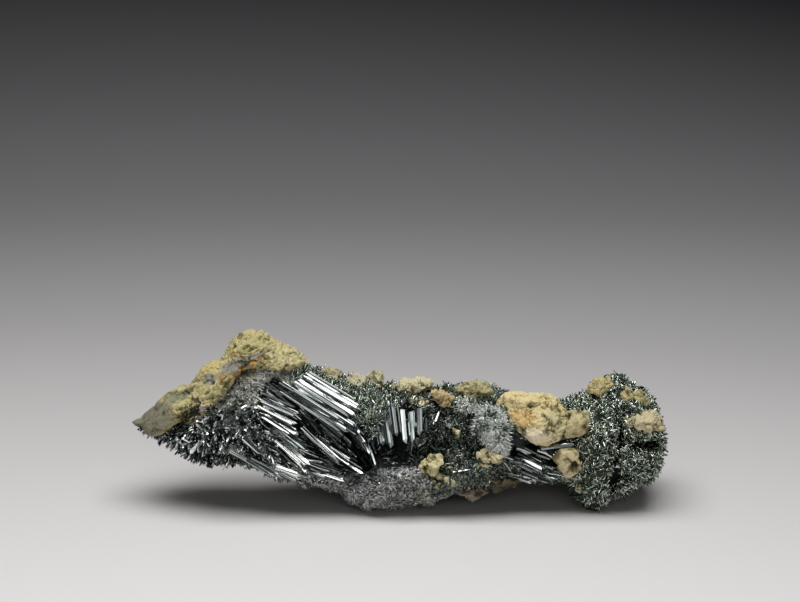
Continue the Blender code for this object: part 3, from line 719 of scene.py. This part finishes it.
def scattered(rng, count, low, high, facing, shaded, clumps=None):
    """Seeded places on the crust between two corners, and the crust's normals there.

    facing is a direction and the least share of it that the crust must face. No place is deeper in a hollow
    than shaded. clumps is the spacing of bare gaps and how much of the crust they leave, from 1 to -1.
    """
    near = CRUST_TRIANGLES.mean(axis=1)
    near = near + rippled(near, 5.0, 1) * 0.7
    inside = np.all((near > low) & (near < high), axis=1)
    if facing is not None:
        inside &= TRIANGLE_NORMALS @ np.array(facing[:3]) > facing[3]
    chances = TRIANGLE_AREAS * inside
    picked = rng.choice(len(chances), size=count, p=chances / chances.sum())
    u, v = rng.random((2, count, 1))
    over = u + v > 1
    u, v = np.where(over, 1 - u, u), np.where(over, 1 - v, v)
    a, b, c = (CRUST_TRIANGLES[picked, k] for k in range(3))
    roots = a + u * (b - a) + v * (c - a)
    normals = TRIANGLE_NORMALS[picked]
    depths = np.array([hollow_depth(p[0], p[2]) if n[1] < 0 else 0.0 for p, n in zip(roots, normals)])
    keep = depths < shaded * rng.uniform(0.6, 1.0, count)
    if clumps:
        keep &= rippled(roots, clumps[0], 7)[:, 0] > -clumps[1]
    return roots[keep], normals[keep]


NEEDLE_SINK = 0.3  # how far a needle's foot is sunk in the crust
NEEDLE_RISE = 0.08  # the least that a needle rises from the crust, as a share of its length


def needle_field(
    name, material, count, low, high, lengths, widths, stand, swirl, wildness, seed, lean=(0, 0, 0),
    away_from=None, facing=None, shaded=99.0, tones=(0.0, 1.0), bend=0.0, flatness=(0.45, 1.0), clumps=None,
):
    """Plants needles on the crust between two corners, as scattered places them.

    Each direction is stand times the crust's normal, plus lean or the way from the point away_from, plus a
    swirl that neighbours share, plus wildness times a direction of its own. flatness is the range of
    thickness over width, and bend is how far a tip curves aside, over its length.
    """
    rng = np.random.default_rng(seed)
    roots, normals = scattered(rng, count, low, high, facing, shaded, clumps)
    total = len(roots)
    leaning = unit(roots - np.array(away_from)) if away_from else np.array(lean)
    along = stand * normals + leaning + swirl * unit(rippled(roots, 4.0, seed + 1))
    along = unit(along + wildness * unit(rng.normal(size=(total, 3))))
    outwards = np.sum(along * normals, axis=1, keepdims=True)
    along = unit(along - np.minimum(outwards - NEEDLE_RISE, 0.0) * normals)
    length = rng.uniform(*lengths, (total, 1)) * rng.uniform(0.6, 1.0, (total, 1))
    width = rng.uniform(*widths, (total, 1))
    side = unit(np.cross(along, rng.normal(size=(total, 3))))
    other = np.cross(along, side)
    thickness = rng.uniform(*flatness, (total, 1))[:, None]
    length, width = length[:, None], width[:, None]
    x, y, z = (NEEDLE_POINTS[None, :, k, None] for k in range(3))
    co = (roots - along * NEEDLE_SINK)[:, None] + side[:, None] * (x * width + bend * length * z * z)
    co = co + other[:, None] * y * width * thickness + along[:, None] * z * length
    return tiled(name, co, NEEDLE_FACES, rng.uniform(*tones, total), material)


def needle_material(name, dark, middle, light, roughness, metallic):
    """Stibnite needles: each has its own tone, from tarnished dark to fresh and bright."""
    made, tree, shader, _ = new_material(name)
    tone = add_node(tree, "Attribute", attribute_name="tone", out="Fac")
    tint = add_node(tree, "ValToRGB", {"Fac": tone}, ((0.0, dark), (0.55, middle), (1.0, light)))
    feed(tree, shader, {"Base Color": tint, "Roughness": roughness, "Metallic": metallic})
    return made


bright_needles = needle_material("fresh stibnite needles", "#171c1c", "#626b6a", "#ffffff", 0.15, 1.0)
silver_needles = needle_material("silvery stibnite felt", "#6d726f", "#d6dad4", "#ffffff", 0.30, 0.8)
green_needles = needle_material(
    "tarnished grey-green stibnite needles", "#2c3733", "#8f9c8c", "#f6fbf0", 0.20, 0.95,
)
# The arm felt's pale grey is partly its own dusty colour and partly painted light, making up for the peak's
# shadow over it.
dusty_painted_light_needles = needle_material("clay-dusted stibnite fibres, painted lighter", "#6a6d6b", "#c8cbc5", "#fafaf4", 0.42, 0.6)
belly_fibres = needle_material("matted pale stibnite fibres", "#333636", "#bcc0bc", "#ffffff", 0.42, 0.4)

needle_field("burr_needles", bright_needles, 2300, (-57, -20, 5), (-27, 20, 24), (1.6, 3.2), (0.4, 0.9),
             0.45, 0.15, 0.55, 11, away_from=(-42.0, 3.0, 24.0), shaded=5.0, flatness=(0.3, 0.8))
needle_field("arm_felt", dusty_painted_light_needles, 13000, (-41, -20, 19), (-17, -1, 34), (0.4, 1.0), (0.14, 0.28),
             0.45, 0.7, 0.8, 12, lean=(0.4, -0.2, -0.3), shaded=3.6, tones=(0.2, 1.0))
needle_field("ridge_needles", green_needles, 13000, (-24, -20, 19), (42, 20, 34), (0.8, 2.0), (0.26, 0.5),
             0.6, 0.3, 1.0, 13, shaded=2.4)
needle_field("ridge_tufts", green_needles, 2200, (-22, -14, 19), (40, 2, 31), (1.8, 3.2), (0.3, 0.55),
             0.8, 0.6, 0.5, 19, lean=(0, -0.2, 0.5), facing=(0, -0.3, 1, 0.3), shaded=2.0, clumps=(3.0, 0.6))
needle_field("shoulder_tufts", green_needles, 1500, (-24, -13, 22), (-6, 2, 33), (1.6, 3.2), (0.28, 0.5),
             0.8, 0.5, 0.5, 23, lean=(0, 0, 0.5), facing=(0, 0, 1, 0.2), shaded=2.0)
needle_field("silver_felt", silver_needles, 8000, (10.5, -20, 16), (24, -3, 30), (1.2, 2.8), (0.20, 0.34),
             0.5, 0.9, 0.6, 14, lean=(0.2, -0.3, -0.3), facing=(0, -1, 0.2, 0.1), shaded=5.0,
             tones=(0.4, 1.0), bend=0.15)
needle_field("belly_felt", belly_fibres, 11000, (-26, -20, -1), (7, -2, 12), (0.5, 1.3), (0.14, 0.28),
             0.2, 0.9, 0.5, 15, lean=(0.8, 0, -0.1), shaded=4.0)
needle_field("belly_edge_felt", belly_fibres, 4500, (7, -20, -1), (40, -2, 5), (0.5, 1.2), (0.14, 0.28),
             0.25, 0.8, 0.7, 20, lean=(0.6, 0, -0.1), shaded=4.0, tones=(0.0, 0.7))
needle_field("front_needles", green_needles, 3600, (6, -20, 4.5), (38, -2, 12), (0.5, 1.2), (0.16, 0.34),
             0.5, 0.5, 0.9, 21, facing=(0, -1, 0, 0.1), tones=(0.0, 0.8))
needle_field("hollow_needles", green_needles, 3000, (3, -15, 9), (24, 8, 24), (0.8, 2.6), (0.16, 0.36),
             0.5, 0.8, 0.8, 22, lean=(0, -0.4, 0), facing=(0, -1, 0, 0.1), tones=(0.0, 0.8))
needle_field("knob_needles", green_needles, 13500, (36, -20, -1), (64, 20, 33), (0.8, 2.1), (0.28, 0.62),
             0.55, 0.8, 0.6, 16, shaded=3.4, clumps=(3.2, 1.6))
needle_field("back_needles", green_needles, 10000, (-56, 2, -1), (40, 30, 33), (0.9, 2.2), (0.28, 0.52),
             0.6, 0.5, 0.7, 17, facing=(0, 1, 0, -0.1))
needle_field("pocket_needles", bright_needles, 2600, (-36, -15.5, 6), (24, -1, 30), (0.8, 2.2), (0.16, 0.36),
             0.6, 0.3, 0.8, 18, lean=(0.5, 0, -0.3), facing=(0, -1, 0, 0.2), tones=(0.0, 0.8))

# ======================== rock of the peak
# Clay-altered rock: soft, bedded and dull, olive-yellow to cream, with iron-stained folds and grey patches.
# It broke into facets and weathered to steps along its bedding, and is rubbed smooth at the pointed tip.

PEAK_BEDDING = Vector((-0.42, 0.20, 0.88)).normalized()  # across the folded leaves, which rise to the right
LEAF_THICKNESS = 1.1
LEAF_STEP = 0.55
FACET_SIZE = 5.0
FACET_TILT = 0.8
ROUGH_FROM = (-52.0, 4.0)  # x where the smooth tip ends, and the length over which it does
PEAK_GRAIN = ((1.4, 0.35), (0.7, 0.3), (0.4, 0.2))  # spacing and height
TIP_GRAIN = ((3.0, 0.4), (0.8, 0.12))
ROCK_CLEARANCE = 0.05  # above the table


def rock_form(node, voxel, rounds):
    """The plain solid of a lump as a bmesh in millimetres, remeshed finely and smoothed in rounds."""
    bm = bmesh.new()
    bm.from_mesh(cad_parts[node].data)
    bmesh.ops.remove_doubles(bm, verts=bm.verts, dist=1e-7)
    bmesh.ops.scale(bm, vec=(1 / MM,) * 3, verts=bm.verts)
    held = as_mesh(node + "_form", bm)
    former = bpy.data.objects.new(node + "_form", held)
    bpy.context.scene.collection.objects.link(former)
    remesh = former.modifiers.new("remesh", "REMESH")
    remesh.mode = "VOXEL"
    remesh.voxel_size = voxel
    bm = bmesh.new()
    bm.from_mesh(former.evaluated_get(bpy.context.evaluated_depsgraph_get()).to_mesh())
    bpy.data.objects.remove(former)
    bpy.data.meshes.remove(held)
    every_way = {"use_axis_x": True, "use_axis_y": True, "use_axis_z": True}
    for _ in range(rounds):
        bmesh.ops.smooth_vert(bm, verts=bm.verts, factor=0.5, **every_way)
    return bm


def facet(point, size, tilt):
    """The rise of the broken face that lies at a point, and how near that point is to a crack."""
    distances, cells = noise.voronoi(point / size)
    lean = noise.noise_vector(cells[0] * 3.7)
    return tilt * 2 * (point / size - cells[0]).dot(lean), distances[1] - distances[0]


def leaf_rise(height):
    """The rise of stepped bedding: each leaf swells outwards and ends in a sharp step."""
    share = height / LEAF_THICKNESS % 1.0
    return LEAF_STEP * (share - 0.4 if share < 0.8 else 0.4 - (share - 0.8) * 4)


def add_rock(piece, node, voxel, rounds, rise_at, base, stains, swell, material):
    """A lump in place of its plain solid, displaced along its normals.

    Each point keeps its rise and its tint as attributes; the clay paints shade and light into its colour by
    the rise.
    """
    bm = rock_form(node, voxel, rounds)
    raised = bm.verts.layers.float.new("raised")
    tint = bm.verts.layers.float_color.new("tint")
    bm.normal_update()
    spots = []
    for vert in bm.verts:
        vert[raised] = rise = rise_at(vert.co, vert.normal)
        vert[tint] = stained(vert.co, base, stains)
        spots.append(vert.co + vert.normal * (rise + swell))
    for vert, spot in zip(bm.verts, spots):
        vert.co = spot
        vert.co.z = max(spot.z, ROCK_CLEARANCE)
    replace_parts(finished(piece, bm, material), node)


def clay_material(name, grain, speckle, roughness):
    """Clay rock: the tint of each stain, with painted shade in pits and painted light on raised grains, and
    darker at specks of stibnite.
    """
    made, tree, shader, place = new_material(name)
    raised = add_node(tree, "Attribute", attribute_name="raised", out="Fac")
    tint = add_node(tree, "Attribute", attribute_name="tint")
    grains = add_node(
        tree, "TexNoise", {"Vector": place, "Scale": 1 / (grain * MM), "Detail": 5.0, "Roughness": 0.7},
    )
    clouds = add_node(tree, "TexNoise", {"Vector": place, "Scale": 1 / (2.6 * MM), "Detail": 3.0})
    # Painted shade and light: the ramp darkens low points and pales raised ones, by their rise.
    level = add_node(tree, "Math", {0: raised, 1: 0.35, 2: grains}, operation="MULTIPLY_ADD")
    both = add_node(tree, "Math", {0: level, 1: clouds}, operation="ADD")
    share = add_node(tree, "MapRange", {"Value": both, "From Min": 0.55, "From Max": 1.35})
    shade = add_node(
        tree, "ValToRGB", {"Fac": share}, ((0.08, "#403f33"), (0.34, "#aba999"), (0.54, "#ffffff")),
    )
    shaded = add_node(
        tree, "Mix", {0: 1.0, 6: tint, 7: shade}, data_type="RGBA", blend_type="MULTIPLY", out=2,
    )
    specks = add_node(
        tree, "TexNoise", {"Vector": place, "Scale": 1 / (0.45 * MM), "Detail": 3.0, "Roughness": 0.8},
    )
    dark = add_node(
        tree, "MapRange",
        {"Value": specks, "From Min": 0.74 - speckle, "From Max": 0.80 - speckle, "To Max": 0.8},
    )
    colour = add_node(tree, "Mix", {0: dark, 6: shaded, 7: linear("#45463d")}, data_type="RGBA", out=2)
    relief = add_node(tree, "Bump", {"Height": grains, "Distance": 0.4 * MM, "Strength": 0.8})
    feed(tree, shader, {
        "Base Color": colour, "Normal": relief, "Roughness": roughness, "Specular IOR Level": 0.3,
    })
    return made


PEAK_OLIVE = "#c6bb88"
# Stains of the peak: colour, x, seen height, half length, half height, tilt in degrees.
PEAK_STAINS = (
    ("#8a8571", -55.6, 18.6, 6.4, 3.8, 30),  # grey-tan tip
    ("#e8dcb4", -58.3, 19.1, 0.6, 0.4, 0),
    ("#8c8d72", -48.8, 24.2, 3.0, 1.4, 20),
    ("#4b3a28", -44.8, 23.7, 0.9, 0.4, -8),
    ("#bfab98", -44.0, 21.4, 2.1, 1.2, 10),
    ("#cbbb80", -41.8, 30.6, 1.8, 2.0, 30),
    ("#959386", -41.6, 28.0, 1.7, 1.2, 20),
    ("#989689", -34.3, 32.0, 6.2, 1.3, 25),
    ("#be9350", -33.8, 31.2, 5.8, 0.45, 29),
    ("#c29a5c", -36.6, 34.0, 1.4, 0.5, 10),
    ("#b8935c", -38.6, 28.6, 1.0, 0.5, 30),
    ("#cfc596", -24.8, 33.2, 5.0, 2.2, -6),
)


def peak_rise(point, normal):
    """Facets and stepped leaves of the peak, fading out towards the smooth tip."""
    rough = smooth((point.x - ROUGH_FROM[0]) / ROUGH_FROM[1])
    bend = 1.5 * noise.noise(point / 7.0) + 0.6 * noise.noise(point / 2.6)
    rise, crack = facet(point, FACET_SIZE, FACET_TILT)
    rise += leaf_rise(point.dot(PEAK_BEDDING) + bend) - 0.2 * smooth(1 - crack / 0.08)
    return rough * (rise + swellings(point, PEAK_GRAIN)) + (1 - rough) * swellings(point, TIP_GRAIN)


# Dull as dry clay, with brown where iron has stained the folds.
peak_clay = clay_material("olive clay rock with iron-stained folds", 0.7, 0.15, 0.8)
add_rock("peak_rock", "matrix_peak", 0.34, 2, peak_rise, PEAK_OLIVE, PEAK_STAINS, 0.1, peak_clay)

# ======================== large lump, its lobe and its wedge
# A block of cream-yellow clay rock, granular on top, over a smooth pinkish face that is striated like wood.
# An angular lobe and a smoother, slightly waxy wedge are broken off its right side.

LUMP_CREAM = "#e2d09c"
# Stains, as of the peak; the pale band of the lower face is partly painted light.
LUMP_STAINS_AND_LIGHT = (
    ("#d8b97c", 27.4, 19.6, 2.2, 1.8, 0),
    # Lower striated face: its own paler, pinkish colour, painted lighter as well where little light reaches
    # it.
    ("#f3e6c6", 28.2, 15.4, 8.4, 1.6, 4),
    ("#c8bf93", 34.4, 18.4, 2.8, 3.2, 0),
    ("#6c5a38", 34.4, 22.4, 0.9, 0.4, 20),
)
LOBE_STAINS = (("#7a6a45", 41.4, 16.6, 0.8, 1.8, 30), ("#b8ad84", 39.6, 20.6, 2.4, 0.6, -10))
WEDGE_STAINS = (("#93885f", 38.2, 8.4, 0.8, 0.7, 0), ("#8b7d5c", 34.2, 11.2, 1.0, 1.4, 30))
STRIATED_BELOW = (20.2, 1.2)  # z where the smooth face ends, and the height over which it does
LUMP_GRAIN = ((1.8, 0.4), (0.9, 0.38), (0.45, 0.26))
LOBE_GRAIN = ((0.9, 0.25), (0.45, 0.15))
WEDGE_GRAIN = ((2.0, 0.2),)
STRIAE = ((7.0, 3.0, 0.42), 0.28)  # spacing each way, and height


def lump_rise(point, normal):
    """Coarse grains on top, fine level striae on the lower front face."""
    below = STRIATED_BELOW[0] - point.z + 0.8 * noise.noise(point / 3.0)
    striated = smooth(below / STRIATED_BELOW[1]) * smooth(-normal.y * 2)
    rise, crack = facet(point, 4.6, 0.5)
    rise -= 0.2 * smooth(1 - crack / 0.07)
    spacing, height = STRIAE
    striae = height * noise.noise(Vector([along / apart for along, apart in zip(point, spacing)]))
    return (1 - striated) * (rise + swellings(point, LUMP_GRAIN)) + striated * (striae + 0.1)


def broken_rise(size, tilt, layers):
    """The rise of a lump broken into facets, with a grain of the given layers."""

    def rise_at(point, normal):
        rise, crack = facet(point, size, tilt)
        return rise - 0.15 * smooth(1 - crack / 0.08) + swellings(point, layers)

    return rise_at


# Fresh clay is pale and chalky. Where it is waxy it is smooth, coarser in tone and slightly glossy.
cream_clay = clay_material("cream clay rock, granular", 0.55, 0.10, 0.85)
waxy_clay = clay_material("waxy tan clay rock", 1.6, 0.0, 0.45)
add_rock("large_lump_rock", "large_lump", 0.34, 2, lump_rise, LUMP_CREAM, LUMP_STAINS_AND_LIGHT, 0.15, cream_clay)
lobe_rise, wedge_rise = broken_rise(2.6, 0.8, LOBE_GRAIN), broken_rise(3.0, 0.9, WEDGE_GRAIN)
add_rock("lump_lobe_rock", "lump_lobe", 0.26, 0, lobe_rise, "#cbbf92", LOBE_STAINS, 0.1, cream_clay)
# The wedge's pale tan is partly its own colour and partly painted light, making up for the shadow it lies in.
add_rock("lump_wedge_rock", "lump_wedge", 0.26, 0, wedge_rise, "#cfc198", WEDGE_STAINS, 0.1, waxy_clay)

# ======================== small lumps
# Pieces of the same clay rock, each in its own plain tint, that the growing needles caught between them: on
# the ridge, the knob, the front and the back. The stained lump's dark tint is partly painted shade.

SMALL_LUMPS = {
    "knob_crown": "#c4b585", "knob_cap": "#c9bd8c", "knob_cap_side": "#bfb482", "knob_shelf": "#d0c4a0",
    "ridge_lump_1": "#b9b28f", "ridge_lump_2": "#cbc4a3", "ridge_lump_3": "#c6bf9d",
    "ridge_lump_4": "#d6cda8", "ridge_lump_5": "#c9b587", "ridge_lump_6": "#bcb58a",
    "front_nugget": "#d6cc9e", "front_shell": "#d8cba4", "front_shell_foot": "#cbbd92",
    # The stained lump's dark brown is partly its own mottled colour and partly painted shade.
    "stained_lump": "#5f5744", "belly_lump": "#a09684",
    "back_lump_1": "#bdb285", "back_lump_2": "#c8bb92",
}
small_rise = broken_rise(2.0, 0.85, ((1.2, 0.3), (0.6, 0.28), (0.35, 0.16)))
for node, base in SMALL_LUMPS.items():
    add_rock(node + "_rock", node, 0.26, 0, small_rise, base, (), 0.0, cream_clay)

# Crumbs of the rock, most of them under a millimetre across, lie between the needles. Each is an icosphere,
# stretched and dented by its own few waves.
bm = bmesh.new()
bmesh.ops.create_icosphere(bm, subdivisions=2, radius=0.5)
CRUMB_POINTS, CRUMB_FACES = repeatable(bm)
CRUMB_RISE = 0.35  # height of a crumb's middle above the crust, over its size

# Dry clay dust and chips, from grey to cream, with no shine.
crumb_clay, tree, shader, place = new_material("loose crumbs of clay rock")
tone = add_node(tree, "Attribute", attribute_name="tone", out="Fac")
grains = add_node(tree, "TexNoise", {"Vector": place, "Scale": 1 / (0.3 * MM), "Detail": 3.0})
tint = add_node(
    tree, "ValToRGB", {"Fac": tone},
    ((0.0, "#6f7060"), (0.4, "#a7a27f"), (0.8, "#d3c795"), (1.0, "#e8dcb4")),
)
relief = add_node(tree, "Bump", {"Height": grains, "Distance": 0.3 * MM, "Strength": 1.0})
feed(tree, shader, {"Base Color": tint, "Normal": relief, "Roughness": 0.9})


def crumbs(name, places, sizes, tones, rng):
    """One joined mesh of crumbs, each with its place, size and tone."""
    total = len(places)
    stretch = rng.uniform(0.6, 1.4, (total, 1, 3))
    waves = rng.normal(size=(total, 3, 4)) * 5
    dents = 1 + 0.3 * np.sin(np.einsum("pk,tkw->tpw", CRUMB_POINTS, waves)).sum(axis=2, keepdims=True) / 2
    co = places[:, None] + CRUMB_POINTS[None] * stretch * dents * sizes[:, None, None]
    return tiled(name, co, CRUMB_FACES, tones, crumb_clay)


def crumb_field(name, count, low, high, sizes, tones, seed, facing):
    """Crumbs at seeded places, touching the crust."""
    rng = np.random.default_rng(seed)
    roots, normals = scattered(rng, count, low, high, facing, 6.0, (4.0, 0.6))
    total = len(roots)
    size = rng.uniform(*sizes, total) * rng.uniform(0.5, 1.0, total)
    places = roots + normals * size[:, None] * CRUMB_RISE
    return crumbs(name, places, size, rng.uniform(*tones, total), rng)


crumb_field("ridge_crumbs", 380, (-22, -16, 23.5), (40, 14, 32), (0.4, 1.2), (0.0, 0.8), 31, (0, 0, 1, 0.4))
crumb_field("front_crumbs", 160, (-2, -20, 3), (38, -4, 14), (0.3, 0.9), (0.1, 0.8), 32, (0, -1, 0, 0.2))
crumb_field("knob_crumbs", 260, (38, -18, 3), (62, 14, 32), (0.3, 0.9), (0.0, 0.5), 33, (0, -0.5, 0.8, 0.2))
crumb_field("arm_crumbs", 500, (-44, -18, 24), (-20, -2, 34), (0.2, 0.6), (0.0, 0.9), 34, None)

# Single bits of the display side: x, seen height, size, tone.
SINGLE_BITS = (
    (13.0, 15.8, 1.6, 0.9), (12.2, 16.6, 0.9, 0.7), (5.0, 22.4, 1.8, 1.0), (6.2, 22.8, 1.2, 0.8),
    (8.8, 6.2, 1.8, 0.6), (10.6, 5.6, 1.5, 0.8), (11.8, 5.0, 1.2, 0.5), (7.4, 5.0, 1.1, 0.4),
    (39.6, 3.3, 1.6, 0.8), (36.6, 3.6, 1.0, 0.5), (31.8, 23.8, 2.2, 0.9), (26.0, 6.0, 1.3, 0.4),
)
IN_FRONT = np.array((0, -0.4, 0.1))
places = np.array([seen_on_crust(x, seen)[:] for x, seen, _, _ in SINGLE_BITS]) + IN_FRONT
_, _, sizes, tones = np.array(SINGLE_BITS).T
crumbs("single_bits", places, sizes, tones, np.random.default_rng(36))
